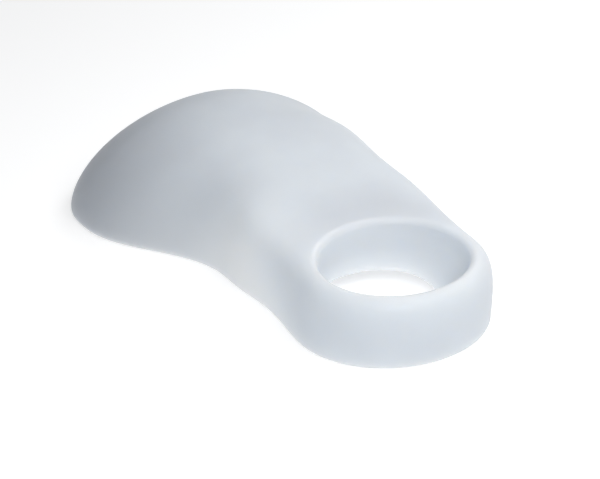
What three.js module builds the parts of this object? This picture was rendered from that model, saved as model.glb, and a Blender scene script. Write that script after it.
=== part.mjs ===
// Gel shield for the joint of the big toe: a thin domed shell, hollow underneath, whose neck runs into a toe
// loop. It is one soft moulding, modelled in millimetres with +Z up. The loop lies towards +X and the shield
// towards -X. The foot of the loop and the rim of the shield rest on the plane z = 0.
//
// Heights and outlines are worked out about the loop's upright axis. A plan point is a Vector2, and "back" is
// its distance from that axis towards the shield. The finished body is then moved to the middle of its box.

import * as THREE from "three";

const { clamp, lerp, smoothstep, smootherstep } = THREE.MathUtils;

// Toe loop
const LOOP_OUTER_DIAMETER = 31.4;
const LOOP_HEIGHT = 11.4;
const LOOP_LEAN_FRONT = 1;
const LOOP_LEAN_SIDE = 0.7;

// Toe hole: its rim, and the smaller foot of its wall, which is set off from the loop's axis
const TOE_HOLE_DIAMETER = 23.4;
const RIM_ROLL = 1.2;
const FOOT_DIAMETER = 19.6;
const FOOT_BACK = 1.2;
const FOOT_SIDE = -1.3;
const FOOT_RISE = 2.6;
const FOOT_ROUNDING = 1.2;

// Neck and shield
const NECK_DISTANCE = 24;
const NECK_WIDTH = 33.6;
const NECK_OFFSET = -1;
const WAIST_DEPTH = 0.9;
const WIDEST_DISTANCE = 56.6;
const SHIELD_WIDTH = 51;
const SHIELD_REACH = 76.2;
const SHIELD_OFFSET = 2.5;
const CLIMB_START = 7.8;
const CROWN_DISTANCE = 48.5;
const CROWN_HEIGHT = 15.2;

// Walls and edges
const SHELL_WALL = 2.6;
const EDGE_WIDTH = 1.6;
const LIP_RADIUS = 0.6;
const HOLLOW_START = 16;
const HOLLOW_RAMP = 10;

// Powers of the rounded curves: 2 is an ellipse and more is squarer
const TIP_POWER = 1.92;
const LOOP_SIDE_POWER = 11;
const LOOP_TOP_POWER = 3.6;
const DOME_SIDE_POWER = 2;
const DOME_TOP_POWER = 1.6;

// How far back from the loop's axis the squareness of the loop has gone, on the +Y side and on the -Y side
const PLUS_Y_ROUNDING = 56.6;
const MINUS_Y_ROUNDING = 42;

// Spokes in each part of half the outline, and points in each part of a section
const FRONT_SPOKES = 12;
const SIDE_SPOKES = 16;
const TIP_SPOKES = 14;
const ROUND_POINTS = 3;
const ROLL_POINTS = 5;
const TOP_POINTS = 13;
const UNDER_POINTS = 12;

const loopRadius = LOOP_OUTER_DIAMETER / 2;
const holeRadius = TOE_HOLE_DIAMETER / 2;
const footRadius = FOOT_DIAMETER / 2;
const quarter = Math.PI / 2;

// Half a width on one side, where side is 1 for +Y and -1 for -Y. A positive offset leans it towards -Y.
function halfOf(width, offset, side) {
  return width / 2 - side * offset;
}

function shieldHalf(side) {
  return halfOf(SHIELD_WIDTH, SHIELD_OFFSET, side);
}

// Half the plan's width on one side, from the loop's axis back to the shield's widest place. The -Y side draws
// in to a waist between the loop and the neck.
function halfWidth(back, side) {
  const neckHalf = halfOf(NECK_WIDTH, NECK_OFFSET, side);
  if (back < NECK_DISTANCE) {
    const waist = side < 0 ? WAIST_DEPTH * Math.sin((Math.PI * back) / NECK_DISTANCE) ** 2 : 0;
    return lerp(loopRadius, neckHalf, smoothstep(back, 0, NECK_DISTANCE)) - waist;
  }
  const flare = smootherstep(back, NECK_DISTANCE, WIDEST_DISTANCE);
  return lerp(neckHalf, shieldHalf(side), flare);
}

// One side of the plan's outline, from the front of the loop round to the shield's tip.
function outlineHalf(side) {
  const points = [];
  for (let i = 0; i < FRONT_SPOKES; i += 1) {
    const angle = (quarter * i) / FRONT_SPOKES;
    points.push(new THREE.Vector2(Math.cos(angle), side * Math.sin(angle)).multiplyScalar(loopRadius));
  }
  for (let i = 0; i < SIDE_SPOKES; i += 1) {
    const back = (WIDEST_DISTANCE * i) / SIDE_SPOKES;
    points.push(new THREE.Vector2(-back, side * halfWidth(back, side)));
  }
  for (let i = 0; i <= TIP_SPOKES; i += 1) {
    const angle = (quarter * i) / TIP_SPOKES;
    const along = Math.sin(angle) ** (2 / TIP_POWER);
    const across = Math.max(Math.cos(angle), 0) ** (2 / TIP_POWER);
    const back = lerp(WIDEST_DISTANCE, SHIELD_REACH, along);
    points.push(new THREE.Vector2(-back, side * shieldHalf(side) * across));
  }
  return points;
}

// The whole outline, seen from above, turning from +X through +Y.
function outline() {
  const near = outlineHalf(-1).slice(1, -1).reverse();
  return [...outlineHalf(1), ...near];
}

// How far a plan point lies from the spine, which is 0, to the outline, which is 1.
function spread(p) {
  const back = -p.x;
  const side = Math.sign(p.y);
  if (back < 0) return p.length() / loopRadius;
  if (back < WIDEST_DISTANCE) return Math.abs(p.y) / halfWidth(back, side);
  const along = (back - WIDEST_DISTANCE) / (SHIELD_REACH - WIDEST_DISTANCE);
  const across = Math.abs(p.y) / shieldHalf(side);
  return (along ** TIP_POWER + across ** TIP_POWER) ** (1 / TIP_POWER);
}

// Height of the spine: level over the loop, then a climb that rounds off at the crown.
function crestHeight(p) {
  return lerp(LOOP_HEIGHT, CROWN_HEIGHT, smoothstep(-p.x, CLIMB_START, CROWN_DISTANCE));
}

// A rounded arch, 1 over the spine and 0 where the spread has reached its limit. It is nearly square over the
// loop and softens along the neck to the round of the dome.
function arch(p, limit) {
  const soft = smoothstep(-p.x, 0, p.y < 0 ? MINUS_Y_ROUNDING : PLUS_Y_ROUNDING);
  const sidePower = lerp(LOOP_SIDE_POWER, DOME_SIDE_POWER, soft);
  const topPower = lerp(LOOP_TOP_POWER, DOME_TOP_POWER, soft);
  const level = Math.min(spread(p) / limit, 1);
  return (1 - level ** sidePower) ** (1 / topPower);
}

// Height of the outer skin, which rolls down into the toe hole round its rim.
function topHeight(p) {
  const full = lerp(LIP_RADIUS, crestHeight(p), arch(p, 1));
  const nearness = clamp(1 - (p.length() - holeRadius) / RIM_ROLL, 0, 1);
  return full - RIM_ROLL * (1 - Math.sqrt(1 - nearness ** 2));
}

// Height of the inner skin. The hollow starts behind the loop's wall, and the foot of that wall lifts off the
// ground on the shield's side.
function underHeight(p) {
  const side = Math.sign(p.y);
  const limit = 1 - EDGE_WIDTH / halfWidth(clamp(-p.x, 0, WIDEST_DISTANCE), side);
  const nearness = clamp(1 - (-p.x - HOLLOW_START) / HOLLOW_RAMP, 0, 1);
  const hollow = (crestHeight(p) - SHELL_WALL) * arch(p, limit) * Math.sqrt(1 - nearness ** 2);
  const lift = FOOT_RISE * smoothstep(-p.x, -footRadius, footRadius) * nearness * arch(p, limit);
  return Math.max(hollow, lift);
}

// The share of a path, from its start, at which it comes out from under the hollow.
function hollowEnd(path) {
  let under = 0;
  let clear = 1;
  for (let i = 0; i < 20; i += 1) {
    const share = (under + clear) / 2;
    if (-path.getPoint(share).x > HOLLOW_START) under = share;
    else clear = share;
  }
  return clear;
}

// A plan path from the hole to the outline. Over the loop it runs straight out. Behind it the path follows the
// spine first and then bends out to the side, so that no path leaves the plan at the neck.
function spoke(from, edge) {
  const back = Math.min(-edge.x, WIDEST_DISTANCE);
  const straight = from.clone().lerp(edge, 0.5);
  const corner = new THREE.Vector2(-back, from.y);
  const bend = straight.lerp(corner, smoothstep(back, 0, NECK_DISTANCE));
  return new THREE.QuadraticBezierCurve(from, bend, edge);
}

// A point of the body. The loop leans, most at its top, and the lean fades out along the neck.
function leaning(p, height) {
  const share = (height / LOOP_HEIGHT) * (1 - smoothstep(-p.x, 0, WIDEST_DISTANCE));
  return new THREE.Vector3(p.x + LOOP_LEAN_FRONT * share, p.y + LOOP_LEAN_SIDE * share, height);
}

// One closed section on the spoke from the toe hole to the outline: up the hole's wall, out over the top, round
// the lip and back underneath. outward points out of the outline there.
function section(hole, edge, outward) {
  const points = [];
  const add = (p, height) => points.push(leaning(p, height));
  const path = spoke(hole, edge);
  const radial = hole.clone().normalize();
  const footMiddle = new THREE.Vector2(-FOOT_BACK, FOOT_SIDE);
  const foot = footMiddle.clone().addScaledVector(radial, footRadius + FOOT_ROUNDING);
  const footHeight = underHeight(foot);

  for (let i = 0; i < ROUND_POINTS; i += 1) {
    const angle = (quarter * i) / (ROUND_POINTS - 1);
    const p = foot.clone().addScaledVector(radial, -FOOT_ROUNDING * Math.sin(angle));
    add(p, footHeight + FOOT_ROUNDING * (1 - Math.cos(angle)));
  }
  const wallFoot = footMiddle.clone().addScaledVector(radial, footRadius);
  add(wallFoot.lerp(hole, 0.5), lerp(footHeight + FOOT_ROUNDING, topHeight(hole), 0.5));

  const rollShare = Math.min(RIM_ROLL / path.getLength(), 0.5);
  for (let i = 0; i < ROLL_POINTS; i += 1) {
    const p = path.getPoint(rollShare * (1 - Math.cos((quarter * i) / ROLL_POINTS)));
    add(p, topHeight(p));
  }
  for (let i = 0; i < TOP_POINTS; i += 1) {
    const p = path.getPoint(lerp(rollShare, 1, Math.sin((quarter * i) / TOP_POINTS)));
    add(p, topHeight(p));
  }
  for (let i = 0; i < ROUND_POINTS; i += 1) {
    const angle = (quarter * i) / (ROUND_POINTS - 1);
    const p = edge.clone().addScaledVector(outward, -LIP_RADIUS * (1 - Math.cos(angle)));
    add(p, LIP_RADIUS * (1 - Math.sin(angle)));
  }

  const inner = edge.clone().addScaledVector(outward, -EDGE_WIDTH);
  const back = spoke(foot, inner);
  const underPath = new THREE.QuadraticBezierCurve(inner, back.v1, foot);
  const hollowShare = Math.max(hollowEnd(underPath), 0.5);
  add(inner, 0);
  for (let i = 1; i <= UNDER_POINTS; i += 1) {
    const p = underPath.getPoint((hollowShare * (1 - Math.cos((Math.PI * i) / UNDER_POINTS))) / 2);
    add(p, underHeight(p));
  }
  return points;
}

// The toe hole's points, one for each spoke, in the outline's order. The front and the back half of the hole
// each share out their spokes evenly.
function holeCircle() {
  const backSpokes = SIDE_SPOKES + TIP_SPOKES;
  const front = Array.from({ length: FRONT_SPOKES }, (_, i) => (quarter * i) / FRONT_SPOKES);
  const back = Array.from({ length: backSpokes + 1 }, (_, i) => quarter + (quarter * i) / backSpokes);
  const half = [...front, ...back];
  const other = half.slice(1, -1).reverse().map((angle) => -angle);
  return [...half, ...other].map((angle) => {
    return new THREE.Vector2(Math.cos(angle), Math.sin(angle)).multiplyScalar(holeRadius);
  });
}

// A closed surface from closed sections that follow one another round the hole. Each four-sided face is split
// along its shorter diagonal.
function ringGeometry(sections) {
  const points = sections.flat();
  const count = sections[0].length;
  const index = [];
  sections.forEach((_, i) => {
    const here = i * count;
    const next = ((i + 1) % sections.length) * count;
    for (let j = 0; j < count; j += 1) {
      const k = (j + 1) % count;
      const [a, b, c, d] = [here + j, here + k, next + k, next + j];
      if (points[a].distanceTo(points[c]) < points[b].distanceTo(points[d])) index.push(a, c, d, a, b, c);
      else index.push(a, b, d, b, c, d);
    }
  });
  const geometry = new THREE.BufferGeometry().setFromPoints(points);
  geometry.setIndex(index);
  return geometry;
}

function gelShield() {
  const edges = outline();
  const holes = holeCircle();
  const sections = edges.map((edge, i) => {
    const before = edges.at(i - 1);
    const after = edges[(i + 1) % edges.length];
    const outward = new THREE.Vector2(after.y - before.y, before.x - after.x).normalize();
    return section(holes[i], edge, outward);
  });
  const geometry = ringGeometry(sections);
  geometry.computeBoundingBox();
  const middle = geometry.boundingBox.getCenter(new THREE.Vector3());
  geometry.translate(-middle.x, -middle.y, 0);
  const gel = new THREE.MeshStandardMaterial({ color: 0xd7e0e6, roughness: 0.35, metalness: 0 });
  const mesh = new THREE.Mesh(geometry, gel);
  mesh.name = "gel_shield";
  return mesh;
}

const group = new THREE.Group();
group.add(gelShield());

export default group;
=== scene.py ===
"""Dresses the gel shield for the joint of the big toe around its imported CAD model.

The shield is one soft moulding of milky silicone gel: a thin domed shell, hollow underneath, whose neck
runs into a toe loop. The moulding here repeats the sizes and curves of the CAD source on a finer mesh. Its
sizes are in millimetres until the mesh is made. Every Blender object is in metres, in the CAD frame, with
+X towards the toe loop and +Z up.
"""

import logging
import math
from collections.abc import Callable
from dataclasses import dataclass, field
from enum import Enum
from typing import Any

import bpy
from mathutils import Matrix, Vector


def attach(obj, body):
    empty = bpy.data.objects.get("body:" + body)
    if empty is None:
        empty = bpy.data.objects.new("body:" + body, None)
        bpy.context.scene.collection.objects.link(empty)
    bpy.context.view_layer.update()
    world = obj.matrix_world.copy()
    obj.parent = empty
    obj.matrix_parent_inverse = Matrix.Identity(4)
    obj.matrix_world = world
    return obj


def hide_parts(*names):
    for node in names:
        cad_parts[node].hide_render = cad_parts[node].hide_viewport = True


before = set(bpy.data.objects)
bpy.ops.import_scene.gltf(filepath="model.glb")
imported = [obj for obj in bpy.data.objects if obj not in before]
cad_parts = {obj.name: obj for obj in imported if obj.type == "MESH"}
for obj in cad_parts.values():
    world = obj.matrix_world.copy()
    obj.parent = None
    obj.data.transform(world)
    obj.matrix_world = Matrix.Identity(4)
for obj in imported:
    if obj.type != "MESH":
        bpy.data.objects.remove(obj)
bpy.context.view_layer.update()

LOG = logging.getLogger("gel_shield_looks")
MM = 0.001
QUARTER = math.pi / 2
FRAME_PIXELS = (600, 479)
PATTERN_MIDDLE = 0.5

# The colour sockets of a Mix node, by number, because its number and vector sockets have the same names.
MIX_SHARE, MIX_FIRST, MIX_SECOND, MIX_RESULT = 0, 6, 7, 2

Colour = tuple[float, float, float, float]
Place = tuple[float, float, float]


def lerp(start: float, end: float, share: float) -> float:
    """The value that lies the given share of the way from start to end."""
    return start + (end - start) * share


def clamp(value: float, low: float, high: float) -> float:
    """The value, kept between low and high."""
    return max(low, min(high, value))


def smoothstep(value: float, low: float, high: float) -> float:
    """A cubic ramp from 0 at low to 1 at high."""
    share = clamp((value - low) / (high - low), 0, 1)
    return share * share * (3 - 2 * share)


def smootherstep(value: float, low: float, high: float) -> float:
    """A fifth-order ramp from 0 at low to 1 at high."""
    share = clamp((value - low) / (high - low), 0, 1)
    return share**3 * (share * (share * 6 - 15) + 10)


class Signal:
    """A value in a material. Arithmetic on it adds Math nodes."""

    def __init__(self, finish: "NodeFinish", socket: bpy.types.NodeSocket) -> None:
        """Wraps the output socket of one of the finish's nodes."""
        self.finish = finish
        self.socket = socket

    def _math(self, operation: str, first: Any, second: Any) -> "Signal":
        """Adds one Math node.

        Args:
            operation: The node's operation, by Blender's name.
            first: A number or a Signal.
            second: A number or a Signal.

        Returns:
            The node's result.
        """
        made = self.finish.node("ShaderNodeMath", {"operation": operation}, {0: first, 1: second})
        return Signal(self.finish, made.outputs[0])

    def __add__(self, other: Any) -> "Signal":
        """The sum."""
        return self._math("ADD", self, other)

    __radd__ = __add__

    def __sub__(self, other: Any) -> "Signal":
        """The difference."""
        return self._math("SUBTRACT", self, other)

    def __rsub__(self, other: Any) -> "Signal":
        """The difference, with this value taken from the other."""
        return self._math("SUBTRACT", other, self)

    def __mul__(self, other: Any) -> "Signal":
        """The product."""
        return self._math("MULTIPLY", self, other)

    __rmul__ = __mul__

    def ramp(self, low: float, high: float) -> "Signal":
        """A soft ramp.

        Args:
            low: Where the ramp is 0.
            high: Where the ramp is 1. It may be less than low.

        Returns:
            The ramp's value at this value, from 0 to 1.
        """
        settings = {"interpolation_type": "SMOOTHSTEP"}
        sockets = {"Value": self, "From Min": low, "From Max": high}
        return Signal(self.finish, self.finish.node("ShaderNodeMapRange", settings, sockets).outputs[0])


@dataclass(frozen=True)
class Pattern:
    """A cloudy pattern: the width of a cloud, the number of finer layers in it and how strong each is."""

    size_mm: float
    layers: float
    layer_strength: float = 0.5


class NodeFinish:
    """A node material under construction."""

    def __init__(self, name: str) -> None:
        """Starts an empty material.

        Args:
            name: The material's name.
        """
        self.material = bpy.data.materials.new(name)
        self.material.use_nodes = True
        self.nodes = self.material.node_tree.nodes
        self.links = self.material.node_tree.links
        self.nodes.clear()

    def node(self, kind: str, settings: dict[str, Any], sockets: dict[Any, Any]) -> bpy.types.Node:
        """Adds one node.

        Args:
            kind: The node's type.
            settings: The node's own settings, which are set first.
            sockets: A value, a Signal or an output socket for each input, by its name or number.

        Returns:
            The new node.
        """
        made = self.nodes.new(kind)
        for key, value in settings.items():
            setattr(made, key, value)
        for key, value in sockets.items():
            if isinstance(value, Signal):
                self.links.new(value.socket, made.inputs[key])
            elif isinstance(value, bpy.types.NodeSocket):
                self.links.new(value, made.inputs[key])
            else:
                made.inputs[key].default_value = value
        return made

    def measure(self, operation: str, place: bpy.types.NodeSocket, other: Place) -> Signal:
        """Adds one Vector Math node that gives a number.

        Args:
            operation: The node's operation, by Blender's name.
            place: The place that is measured.
            other: The direction or the place that it is measured by.

        Returns:
            The node's result.
        """
        made = self.node("ShaderNodeVectorMath", {"operation": operation}, {0: place, 1: other})
        return Signal(self, made.outputs["Value"])

    def noise(self, place: bpy.types.NodeSocket, pattern: Pattern) -> Signal:
        """Adds a cloudy pattern.

        Args:
            place: The place that the pattern is read at, in metres.
            pattern: The pattern's size and layers.

        Returns:
            The pattern, about 0 to 1 with PATTERN_MIDDLE in the middle.
        """
        sockets = {
            "Vector": place,
            "Scale": 1 / (pattern.size_mm * MM),
            "Detail": pattern.layers,
            "Roughness": pattern.layer_strength,
        }
        return Signal(self, self.node("ShaderNodeTexNoise", {"noise_dimensions": "3D"}, sockets).outputs[0])

    def tint(self, share: Signal, first: Any, second: Any) -> bpy.types.NodeSocket:
        """Adds a colour between two colours.

        Args:
            share: 0 gives the first colour and 1 the second.
            first: A colour or a colour socket.
            second: A colour or a colour socket.

        Returns:
            The mixed colour's socket.
        """
        settings = {"data_type": "RGBA", "clamp_factor": True}
        sockets = {MIX_SHARE: share, MIX_FIRST: first, MIX_SECOND: second}
        return self.node("ShaderNodeMix", settings, sockets).outputs[MIX_RESULT]

    def finish(self, shader: bpy.types.Node) -> bpy.types.Material:
        """Joins the shader to the material's output and returns the material."""
        self.node("ShaderNodeOutputMaterial", {}, {"Surface": shader.outputs[0]})
        return self.material


@dataclass(frozen=True)
class MilkyGel:
    """Satin, milky, see-through silicone gel, with painted shade darkening the thin shell's outer side and
    painted light paling the neck, the toe hole's wall and the foot.
    """

    body: Colour = (0.575, 0.60, 0.63, 1.0)
    cloud: Colour = (0.60, 0.63, 0.66, 1.0)
    # Painted light: a paler colour along the foot, standing in for light thrown up from the floor.
    foot_painted_floor_light: Colour = (0.66, 0.68, 0.70, 1.0)
    # Painted shade: a darker colour over the shell's outer side, which faces away from the lights.
    shell_painted_shade: Colour = (0.385, 0.395, 0.41, 1.0)
    # Painted light: a paler colour on the neck's near flank, which the lights would leave shaded.
    neck_painted_light: Colour = (0.76, 0.79, 0.82, 1.0)
    # Painted light: a paler colour on the toe hole's wall, lifting the shade inside the hole.
    hole_wall: Colour = (0.655, 0.68, 0.705, 1.0)
    floor_light_height_mm: float = 1.1
    floor_light_strength: float = 0.6
    # Where the painted shade over the shell starts and ends, along this direction.
    painted_shade_direction: Place = (0.444, 0.896, 0.0)
    painted_shade_from_mm: float = -2
    painted_shade_to_mm: float = -36
    # Where the painted light at the neck lies.
    painted_light_neck_place_mm: Place = (13.0, -15.5, 4.0)
    painted_light_neck_reach_mm: float = 20
    # Where the painted light on the toe hole's wall lies.
    painted_light_hole_place_mm: Place = (30.0, 2.6, 5.0)
    painted_light_hole_reach_mm: float = 13.4
    painted_light_hole_fade_mm: float = 2
    clouds: Pattern = Pattern(14, 3)
    cloud_ramp: tuple[float, float] = (0.3, 0.7)
    smears: Pattern = Pattern(6, 4, 0.6)
    grain: Pattern = Pattern(0.35, 2)
    grain_height: float = 0.3
    ripples: Pattern = Pattern(5, 1)
    ripple_height: float = 3
    relief_strength: float = 0.35
    relief_depth_mm: float = 0.02
    roughness: float = 0.45
    roughness_swing: float = 0.12
    bending_of_light: float = 1.41
    gloss: float = 0.42
    depth_mm: float = 7
    depth_by_colour: Place = (1.0, 1.1, 1.25)

    def colour(self, gel: NodeFinish, place: bpy.types.NodeSocket) -> bpy.types.NodeSocket:
        """The gel's colour.

        Args:
            gel: The material under construction.
            place: The place on the moulding, in metres.

        Returns:
            A cloudy body colour with painted shade over the shell and painted light at the neck, on the
            hole's wall and along the foot.
        """
        height = Signal(gel, gel.node("ShaderNodeSeparateXYZ", {}, {0: place}).outputs["Z"])
        # Painted shade: the colour darkens across the shell towards its far end, away from the lights.
        across = gel.measure("DOT_PRODUCT", place, self.painted_shade_direction)
        shell = across.ramp(self.painted_shade_from_mm * MM, self.painted_shade_to_mm * MM)
        # Painted light: the colour pales round the neck's near flank.
        neck = self.distance(gel, place, self.painted_light_neck_place_mm).ramp(self.painted_light_neck_reach_mm * MM, 0)
        # Painted light: the colour pales on the toe hole's wall.
        reach = self.painted_light_hole_reach_mm * MM
        wall = self.distance(gel, place, self.painted_light_hole_place_mm).ramp(reach, reach - self.painted_light_hole_fade_mm * MM)
        colour = gel.tint(gel.noise(place, self.clouds).ramp(*self.cloud_ramp), self.body, self.cloud)
        colour = gel.tint(shell, colour, self.shell_painted_shade)
        colour = gel.tint(neck, colour, self.neck_painted_light)
        colour = gel.tint(wall, colour, self.hole_wall)
        # Painted light: the colour pales towards the ground, as if lit from the floor.
        edge = height.ramp(self.floor_light_height_mm * MM, 0) * self.floor_light_strength
        return gel.tint(edge, colour, self.foot_painted_floor_light)

    @staticmethod
    def distance(gel: NodeFinish, place: bpy.types.NodeSocket, centre_mm: Place) -> Signal:
        """The distance, in metres, from a centre that is given in millimetres."""
        return gel.measure("DISTANCE", place, tuple(part * MM for part in centre_mm))

    def material(self) -> bpy.types.Material:
        """Builds the gel's material.

        Returns:
            A material with cloudy depth, a foot paled by painted floor light, smeared sheen and a fine
            moulded grain.
        """
        gel = NodeFinish("milky_gel")
        place = gel.node("ShaderNodeTexCoord", {}, {}).outputs["Object"]
        swing = (gel.noise(place, self.smears) - PATTERN_MIDDLE) * self.roughness_swing
        relief = gel.noise(place, self.grain) * self.grain_height
        relief += gel.noise(place, self.ripples) * self.ripple_height
        bump = {"Strength": self.relief_strength, "Distance": self.relief_depth_mm * MM, "Height": relief}
        shader = gel.node(
            "ShaderNodeBsdfPrincipled",
            {"subsurface_method": "RANDOM_WALK"},
            {
                "Base Color": self.colour(gel, place),
                "Roughness": self.roughness + swing,
                "IOR": self.bending_of_light,
                "Subsurface Weight": 1.0,
                "Subsurface Radius": self.depth_by_colour,
                "Subsurface Scale": self.depth_mm * MM,
                "Specular IOR Level": self.gloss,
                "Normal": gel.node("ShaderNodeBump", {}, bump).outputs[0],
            },
        )
        return gel.finish(shader)


@dataclass(frozen=True)
class PaleFloor:
    """The finish of the plain pale floor, which glows a little so that it stays near white."""

    colour: Colour = (0.62, 0.625, 0.63, 1.0)
    mottle: Pattern = Pattern(40, 2)
    mottle_shade: float = 0.99
    glow_colour: Colour = (1.0, 1.0, 1.0, 1.0)
    glow: float = 0.52
    roughness: float = 0.8

    def material(self) -> bpy.types.Material:
        """Builds the floor's material.

        Returns:
            A matt material with a faint mottle that the light washes out.
        """
        floor = NodeFinish("pale_floor")
        place = floor.node("ShaderNodeTexCoord", {}, {}).outputs["Object"]
        shade = tuple(self.mottle_shade * part for part in self.colour)
        shader = floor.node(
            "ShaderNodeBsdfPrincipled",
            {},
            {
                "Base Color": floor.tint(floor.noise(place, self.mottle), self.colour, shade),
                "Roughness": self.roughness,
                "Emission Color": self.glow_colour,
                "Emission Strength": self.glow,
            },
        )
        return floor.finish(shader)


class Side(Enum):
    """The two sides of the plan, by the sign of y."""

    PLUS_Y = 1
    MINUS_Y = -1

    @classmethod
    def of(cls, y: float) -> "Side":
        """The side that a point with this y is on."""
        return cls.PLUS_Y if y >= 0 else cls.MINUS_Y


@dataclass(frozen=True)
class PlanPath:
    """A curved path in the plan, from the toe hole to the outline or back."""

    start: Vector
    bend: Vector
    end: Vector

    def at(self, share: float) -> Vector:
        """The point that lies the given share along the path."""
        rest = 1 - share
        return self.start * rest**2 + self.bend * (2 * share * rest) + self.end * share**2

    def length(self, steps: int = 24) -> float:
        """The path's length, measured in that many steps."""
        points = [self.at(i / steps) for i in range(steps + 1)]
        return sum((b - a).length for a, b in zip(points, points[1:]))


@dataclass(frozen=True)
class ToeLoop:
    """The loop that the big toe goes through, with its hole's rim and smaller foot, in millimetres."""

    outer_diameter: float = 31.4
    height: float = 11.4
    lean_front: float = 1
    lean_side: float = 0.7
    hole_diameter: float = 23.4
    rim_roll: float = 1.2
    foot_diameter: float = 19.6
    foot_back: float = 1.2
    foot_side: float = -1.3
    foot_rise: float = 2.6
    foot_rounding: float = 1.2

    @property
    def radius(self) -> float:
        """Half the loop's outer diameter."""
        return self.outer_diameter / 2

    @property
    def hole_radius(self) -> float:
        """Half the diameter of the toe hole's rim."""
        return self.hole_diameter / 2

    @property
    def foot_radius(self) -> float:
        """Half the diameter of the toe hole's foot."""
        return self.foot_diameter / 2

    def foot_point(self, radial: Vector, distance: float) -> Vector:
        """The plan point at a distance from the middle of the hole's foot, in the given direction."""
        return Vector((-self.foot_back, self.foot_side)) + radial * distance

    def rim_drop(self, p: Vector) -> float:
        """How far the rim's roll has come down at a plan point."""
        nearness = clamp(1 - (p.length - self.hole_radius) / self.rim_roll, 0, 1)
        return self.rim_roll * (1 - math.sqrt(1 - nearness**2))


@dataclass(frozen=True)
class ShieldPlan:
    """The outline of the neck and shield about the loop's axis, in millimetres."""

    loop: ToeLoop
    neck_distance: float = 24
    neck_width: float = 33.6
    neck_offset: float = -1
    waist_depth: float = 0.9
    widest_distance: float = 56.6
    shield_width: float = 51
    shield_reach: float = 76.2
    shield_offset: float = 2.5
    tip_power: float = 1.92

    def neck_half(self, side: Side) -> float:
        """Half the neck's width on one side."""
        return self.neck_width / 2 - side.value * self.neck_offset

    def shield_half(self, side: Side) -> float:
        """Half the shield's width on one side."""
        return self.shield_width / 2 - side.value * self.shield_offset

    def half_width(self, back: float, side: Side) -> float:
        """Half the plan's width.

        Args:
            back: The distance from the loop's axis towards the shield, at most to its widest place.
            side: The side of the plan.

        Returns:
            The distance from the spine to the outline.
        """
        neck = self.neck_half(side)
        if back < self.neck_distance:
            depth = self.waist_depth if side is Side.MINUS_Y else 0
            waist = depth * math.sin(math.pi * back / self.neck_distance) ** 2
            return lerp(self.loop.radius, neck, smoothstep(back, 0, self.neck_distance)) - waist
        flare = smootherstep(back, self.neck_distance, self.widest_distance)
        return lerp(neck, self.shield_half(side), flare)

    def outline_half(self, side: Side, front: int, flank: int, tip: int) -> list[Vector]:
        """One side of the outline, from the front of the loop round to the shield's tip.

        Args:
            side: The side of the plan.
            front: Spokes round the front of the loop.
            flank: Spokes along the side.
            tip: Spokes round the shield's tip.

        Returns:
            The outline's points, with both end points.
        """
        sign = side.value
        points = []
        for i in range(front):
            angle = QUARTER * i / front
            points.append(Vector((math.cos(angle), sign * math.sin(angle))) * self.loop.radius)
        for i in range(flank):
            back = self.widest_distance * i / flank
            points.append(Vector((-back, sign * self.half_width(back, side))))
        for i in range(tip + 1):
            angle = QUARTER * i / tip
            along = math.sin(angle) ** (2 / self.tip_power)
            across = max(math.cos(angle), 0) ** (2 / self.tip_power)
            back = lerp(self.widest_distance, self.shield_reach, along)
            points.append(Vector((-back, sign * self.shield_half(side) * across)))
        return points

    def spread(self, p: Vector) -> float:
        """How far out a plan point lies.

        Args:
            p: A plan point.

        Returns:
            0 at the spine, 1 at the outline and a share between them.
        """
        back = -p.x
        side = Side.of(p.y)
        if back < 0:
            return p.length / self.loop.radius
        if back < self.widest_distance:
            return abs(p.y) / self.half_width(back, side)
        along = (back - self.widest_distance) / (self.shield_reach - self.widest_distance)
        across = abs(p.y) / self.shield_half(side)
        return (along**self.tip_power + across**self.tip_power) ** (1 / self.tip_power)

    def spoke(self, start: Vector, edge: Vector) -> PlanPath:
        """A path from the hole to the outline.

        Args:
            start: A point at the toe hole.
            edge: A point on the outline.

        Returns:
            A path that runs straight out over the loop, and behind it follows the spine first.
        """
        back = min(-edge.x, self.widest_distance)
        straight = (start + edge) / 2
        corner = Vector((-back, start.y))
        bend = straight.lerp(corner, smoothstep(back, 0, self.neck_distance))
        return PlanPath(start, bend, edge)


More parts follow.
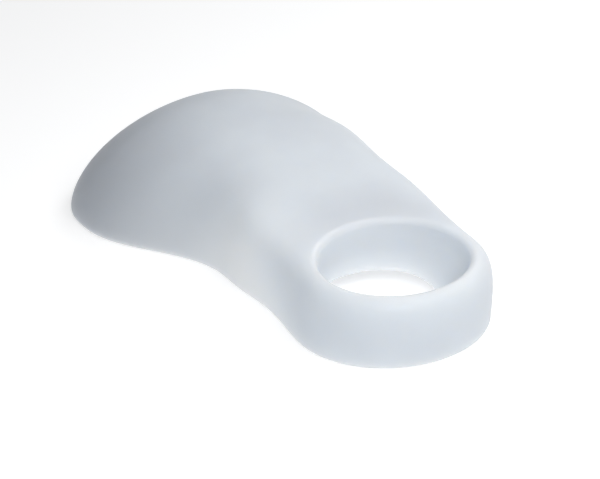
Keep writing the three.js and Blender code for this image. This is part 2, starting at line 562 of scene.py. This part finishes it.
@dataclass(frozen=True)
class ShieldSkins:
    """The heights of the outer and the inner skin over the plan, in millimetres."""

    loop: ToeLoop
    plan: ShieldPlan
    climb_start: float = 7.8
    crown_distance: float = 48.5
    crown_height: float = 15.2
    shell_wall: float = 2.6
    edge_width: float = 1.6
    lip_radius: float = 0.6
    hollow_start: float = 16
    hollow_ramp: float = 10
    loop_side_power: float = 11
    loop_top_power: float = 3.6
    dome_side_power: float = 2
    dome_top_power: float = 1.6
    plus_y_rounding: float = 56.6
    minus_y_rounding: float = 42

    def crest(self, p: Vector) -> float:
        """The height of the spine, level over the loop and rounded off at the crown."""
        climb = smoothstep(-p.x, self.climb_start, self.crown_distance)
        return lerp(self.loop.height, self.crown_height, climb)

    def arch(self, p: Vector, limit: float) -> float:
        """A rounded arch, nearly square over the loop and round over the dome.

        Args:
            p: A plan point.
            limit: The spread at which the arch meets the ground.

        Returns:
            1 over the spine and 0 where the spread has reached its limit.
        """
        soft = smoothstep(-p.x, 0, self.minus_y_rounding if p.y < 0 else self.plus_y_rounding)
        side_power = lerp(self.loop_side_power, self.dome_side_power, soft)
        top_power = lerp(self.loop_top_power, self.dome_top_power, soft)
        level = min(self.plan.spread(p) / limit, 1)
        return (1 - level**side_power) ** (1 / top_power)

    def top(self, p: Vector) -> float:
        """The height of the outer skin, which rolls down into the toe hole round its rim."""
        return lerp(self.lip_radius, self.crest(p), self.arch(p, 1)) - self.loop.rim_drop(p)

    def under(self, p: Vector) -> float:
        """The height of the inner skin.

        Args:
            p: A plan point.

        Returns:
            The hollow's height, or on the shield's side of the toe hole the lift of its wall's foot.
        """
        reach = self.plan.half_width(clamp(-p.x, 0, self.plan.widest_distance), Side.of(p.y))
        limit = 1 - self.edge_width / reach
        nearness = clamp(1 - (-p.x - self.hollow_start) / self.hollow_ramp, 0, 1)
        arch = self.arch(p, limit)
        hollow = (self.crest(p) - self.shell_wall) * arch * math.sqrt(1 - nearness**2)
        foot = self.loop.foot_radius
        lift = self.loop.foot_rise * smoothstep(-p.x, -foot, foot) * nearness * arch
        return max(hollow, lift)

    def leaning(self, p: Vector, height: float) -> Vector:
        """A point of the body. The loop leans, most at its top, and the lean fades out along the neck."""
        share = height / self.loop.height * (1 - smoothstep(-p.x, 0, self.plan.widest_distance))
        return Vector((p.x + self.loop.lean_front * share, p.y + self.loop.lean_side * share, height))


@dataclass
class GelShield:
    """The whole moulding: closed sections on spokes round the toe hole, joined into one closed skin."""

    loop: ToeLoop = field(default_factory=ToeLoop)
    finish: MilkyGel = field(default_factory=MilkyGel)
    plan: ShieldPlan = field(init=False)
    skins: ShieldSkins = field(init=False)
    front_spokes: int = 36
    flank_spokes: int = 48
    tip_spokes: int = 42
    round_points: int = 7
    wall_points: int = 7
    roll_points: int = 14
    top_points: int = 40
    under_points: int = 36
    most_roll_share: float = 0.5
    least_under_share: float = 0.5
    hollow_search_steps: int = 20

    def __post_init__(self) -> None:
        """Works out the plan and the skins from the loop."""
        self.plan = ShieldPlan(self.loop)
        self.skins = ShieldSkins(self.loop, self.plan)

    def outline(self) -> list[Vector]:
        """The whole outline.

        Returns:
            Its points, seen from above, turning from +X through +Y.
        """
        counts = (self.front_spokes, self.flank_spokes, self.tip_spokes)
        near = self.plan.outline_half(Side.MINUS_Y, *counts)[1:-1]
        return [*self.plan.outline_half(Side.PLUS_Y, *counts), *reversed(near)]

    def hole_circle(self) -> list[Vector]:
        """The rim of the toe hole.

        Returns:
            Its points, one for each spoke, in the outline's order.
        """
        back = self.flank_spokes + self.tip_spokes
        half = [QUARTER * i / self.front_spokes for i in range(self.front_spokes)]
        half += [QUARTER + QUARTER * i / back for i in range(back + 1)]
        angles = half + [-angle for angle in reversed(half[1:-1])]
        return [Vector((math.cos(angle), math.sin(angle))) * self.loop.hole_radius for angle in angles]

    def hollow_end(self, path: PlanPath) -> float:
        """Looks for the end of the hollow.

        Args:
            path: A path from the outline to the toe hole.

        Returns:
            The share of the path at which it comes out from under the hollow.
        """
        under, clear = 0.0, 1.0
        for _ in range(self.hollow_search_steps):
            share = (under + clear) / 2
            if -path.at(share).x > self.skins.hollow_start:
                under = share
            else:
                clear = share
        return clear

    def hole_wall(self, hole: Vector) -> list[Vector]:
        """The wall of the toe hole at one spoke.

        Args:
            hole: The spoke's point on the hole's rim.

        Returns:
            Points round the wall's rounded foot and up to just under the rim.
        """
        loop = self.loop
        radial = hole.normalized()
        foot_height = self.skins.under(loop.foot_point(radial, loop.foot_radius + loop.foot_rounding))
        points = []
        for i in range(self.round_points):
            angle = QUARTER * i / (self.round_points - 1)
            p = loop.foot_point(radial, loop.foot_radius + loop.foot_rounding * (1 - math.sin(angle)))
            points.append(self.skins.leaning(p, foot_height + loop.foot_rounding * (1 - math.cos(angle))))
        low, high = foot_height + loop.foot_rounding, self.skins.top(hole)
        for i in range(1, self.wall_points + 1):
            share = i / (self.wall_points + 1)
            p = loop.foot_point(radial, loop.foot_radius).lerp(hole, share)
            points.append(self.skins.leaning(p, lerp(low, high, share)))
        return points

    def outer_skin(self, path: PlanPath) -> list[Vector]:
        """The outer skin along one spoke.

        Args:
            path: The spoke's path from the toe hole to the outline.

        Returns:
            Points from the hole's rim, close together over its roll, to just above the lip.
        """
        roll = min(self.loop.rim_roll / path.length(), self.most_roll_share)
        shares = [roll * (1 - math.cos(QUARTER * i / self.roll_points)) for i in range(self.roll_points)]
        shares += [lerp(roll, 1, math.sin(QUARTER * i / self.top_points)) for i in range(self.top_points)]
        return [self.raised(path.at(share), self.skins.top) for share in shares]

    def inner_skin(self, inner: Vector, foot: Vector) -> list[Vector]:
        """The inner skin along one spoke.

        Args:
            inner: The inner edge of the shield's rim.
            foot: The foot of the toe hole's wall.

        Returns:
            Points from the rim to where the path comes out from under the hollow.
        """
        path = PlanPath(inner, self.plan.spoke(foot, inner).bend, foot)
        end = max(self.hollow_end(path), self.least_under_share)
        steps = range(1, self.under_points + 1)
        shares = [end * (1 - math.cos(math.pi * i / self.under_points)) / 2 for i in steps]
        return [self.raised(path.at(share), self.skins.under) for share in shares]

    def raised(self, p: Vector, height: Callable[[Vector], float]) -> Vector:
        """The body's point over a plan point, at the height that one of the skins has there."""
        return self.skins.leaning(p, height(p))

    def section(self, hole: Vector, edge: Vector, outward: Vector) -> list[Vector]:
        """One closed section.

        Args:
            hole: The spoke's point on the hole's rim.
            edge: Its point on the outline.
            outward: The direction out of the outline there.

        Returns:
            Points up the hole's wall, out over the top, round the lip and back underneath.
        """
        lip = self.skins.lip_radius
        points = self.hole_wall(hole) + self.outer_skin(self.plan.spoke(hole, edge))
        for i in range(self.round_points):
            angle = QUARTER * i / (self.round_points - 1)
            p = edge - outward * (lip * (1 - math.cos(angle)))
            points.append(self.skins.leaning(p, lip * (1 - math.sin(angle))))
        inner = edge - outward * self.skins.edge_width
        foot = self.loop.foot_point(hole.normalized(), self.loop.foot_radius + self.loop.foot_rounding)
        points.append(Vector((inner.x, inner.y, 0)))
        return points + self.inner_skin(inner, foot)

    def sections(self) -> list[list[Vector]]:
        """All the closed sections.

        Returns:
            One section for each spoke, in the outline's order and with the same number of points.
        """
        edges = self.outline()
        sections = []
        for i, (hole, edge) in enumerate(zip(self.hole_circle(), edges)):
            before, after = edges[i - 1], edges[(i + 1) % len(edges)]
            outward = Vector((after.y - before.y, before.x - after.x)).normalized()
            sections.append(self.section(hole, edge, outward))
        return sections

    def mesh(self) -> bpy.types.Mesh:
        """Joins the sections into one closed skin.

        Returns:
            The mesh, in metres, with the middle of its box at the origin in plan.
        """
        sections = self.sections()
        count = len(sections[0])
        points = [p for section in sections for p in section]
        middle = [(min(p[k] for p in points) + max(p[k] for p in points)) / 2 for k in (0, 1)]
        shift = Vector((middle[0], middle[1], 0))
        faces = []
        for i in range(len(sections)):
            here, there = i * count, (i + 1) % len(sections) * count
            for j in range(count):
                k = (j + 1) % count
                faces.append((here + j, here + k, there + k, there + j))
        mesh = bpy.data.meshes.new("gel_shield_moulding")
        mesh.from_pydata([(p - shift) * MM for p in points], [], faces)
        mesh.validate()
        mesh.shade_smooth()
        return mesh

    def build(self) -> bpy.types.Object:
        """Makes the moulding and dresses it.

        Returns:
            The moulding, in the place of its CAD solid.
        """
        mesh = self.mesh()
        mesh.materials.append(self.finish.material())
        piece = bpy.data.objects.new("gel_shield_moulding", mesh)
        bpy.context.scene.collection.objects.link(piece)
        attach(piece, "root")
        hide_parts("gel_shield")
        return piece


@dataclass
class PaleGround:
    """The plain pale floor, a hair below the moulding that lies on it, in metres."""

    half_width: float = 6.0
    gap: float = 0.00005
    finish: PaleFloor = field(default_factory=PaleFloor)

    def build(self) -> bpy.types.Object:
        """Makes the floor.

        Returns:
            The floor.
        """
        half = self.half_width
        corners = [(-half, -half), (half, -half), (half, half), (-half, half)]
        mesh = bpy.data.meshes.new("pale_ground")
        mesh.from_pydata([(x, y, -self.gap) for x, y in corners], [], [(0, 1, 2, 3)])
        mesh.materials.append(self.finish.material())
        ground = bpy.data.objects.new("pale_ground", mesh)
        bpy.context.scene.collection.objects.link(ground)
        return ground


@dataclass(frozen=True)
class SoftBox:
    """One square area light that faces a target, in metres and watts."""

    name: str
    place: Place
    power: float
    target: Place = (0.02, 0.0, 0.0)
    side: float = 0.12
    colour: Place = (1.0, 1.0, 1.0)

    def build(self) -> bpy.types.Object:
        """Makes the light.

        Returns:
            The light, turned to its target.
        """
        lamp = bpy.data.lights.new(self.name, "AREA")
        lamp.shape = "SQUARE"
        lamp.size = self.side
        lamp.energy = self.power
        lamp.color = self.colour
        light = bpy.data.objects.new(self.name, lamp)
        light.location = self.place
        towards = Vector(self.target) - Vector(self.place)
        light.rotation_euler = towards.to_track_quat("-Z", "Y").to_euler()
        bpy.context.scene.collection.objects.link(light)
        return light


@dataclass
class Studio:
    """Soft light: a front key light, a near light over the toe loop, one behind it, and a pale room."""

    room_colour: Colour = (0.96, 0.975, 1.0, 1.0)
    room_strength: float = 0.195
    boxes: tuple[SoftBox, ...] = (
        SoftBox("front_soft_box", (0.244, -0.111, 0.25), 0.554),
        SoftBox("loop_soft_box", (0.060, 0.036, 0.13), 0.109),
        SoftBox("back_soft_box", (-0.092, 0.223, 0.20), 0.263),
    )

    def build(self) -> list[bpy.types.Object]:
        """Lights the room.

        Returns:
            The lights.
        """
        world = bpy.data.worlds.new("pale_room")
        world.use_nodes = True
        sky = world.node_tree.nodes["Background"]
        sky.inputs["Color"].default_value = self.room_colour
        sky.inputs["Strength"].default_value = self.room_strength
        bpy.context.scene.world = world
        return [box.build() for box in self.boxes]


@dataclass(frozen=True)
class PhotoCamera:
    """The camera at the photograph's angle, with angles in degrees and the rest in metres and pixels."""

    azimuth: float = 63.59
    elevation: float = 27.72
    roll: float = 3.12
    distance: float = 0.450
    nearest: float = 0.01
    pixels_per_mm: float = 6.113
    origin_pixel: tuple[float, float] = (285.5, 246.29)
    sensor_width_mm: float = 36.0

    def axes(self) -> tuple[Vector, Vector, Vector]:
        """The directions of the picture.

        Returns:
            The directions to its right, to its top and from it back to the camera.
        """
        a, e, r = (math.radians(x) for x in (self.azimuth, self.elevation, self.roll))
        back = Vector((math.sin(a) * math.cos(e), -math.cos(a) * math.cos(e), math.sin(e)))
        level = Vector((math.cos(a), math.sin(a), 0))
        upright = back.cross(level)
        right = level * math.cos(r) - upright * math.sin(r)
        up = level * math.sin(r) + upright * math.cos(r)
        return right, up, back

    def build(self) -> bpy.types.Object:
        """Makes the camera.

        Returns:
            The camera, set as the scene's own.
        """
        right, up, back = self.axes()
        wide, high = FRAME_PIXELS
        metres = MM / self.pixels_per_mm
        aim = right * ((wide / 2 - self.origin_pixel[0]) * metres)
        aim += up * ((self.origin_pixel[1] - high / 2) * metres)
        lens = bpy.data.cameras.new("photo_camera")
        lens.sensor_width = self.sensor_width_mm
        lens.lens = self.pixels_per_mm * self.distance / MM / wide * self.sensor_width_mm
        lens.clip_start = self.nearest
        camera = bpy.data.objects.new("photo_camera", lens)
        turn = Matrix((right, up, back)).transposed().to_4x4()
        camera.matrix_world = Matrix.Translation(aim + back * self.distance) @ turn
        bpy.context.scene.collection.objects.link(camera)
        bpy.context.scene.camera = camera
        return camera


def main() -> None:
    """Builds the moulding, its ground, the light and the camera."""
    logging.basicConfig(level=logging.INFO, format="%(message)s")
    bpy.context.scene.view_settings.view_transform = "Standard"
    for part in (GelShield(), PaleGround()):
        made = part.build()
        LOG.info("%s: %d faces", made.name, len(made.data.polygons))
    for light in Studio().build():
        LOG.info("%s: %.2f W", light.name, light.data.energy)
    camera = PhotoCamera().build()
    LOG.info("%s: %.1f mm lens", camera.name, camera.data.lens)


if __name__ == "__main__":
    main()
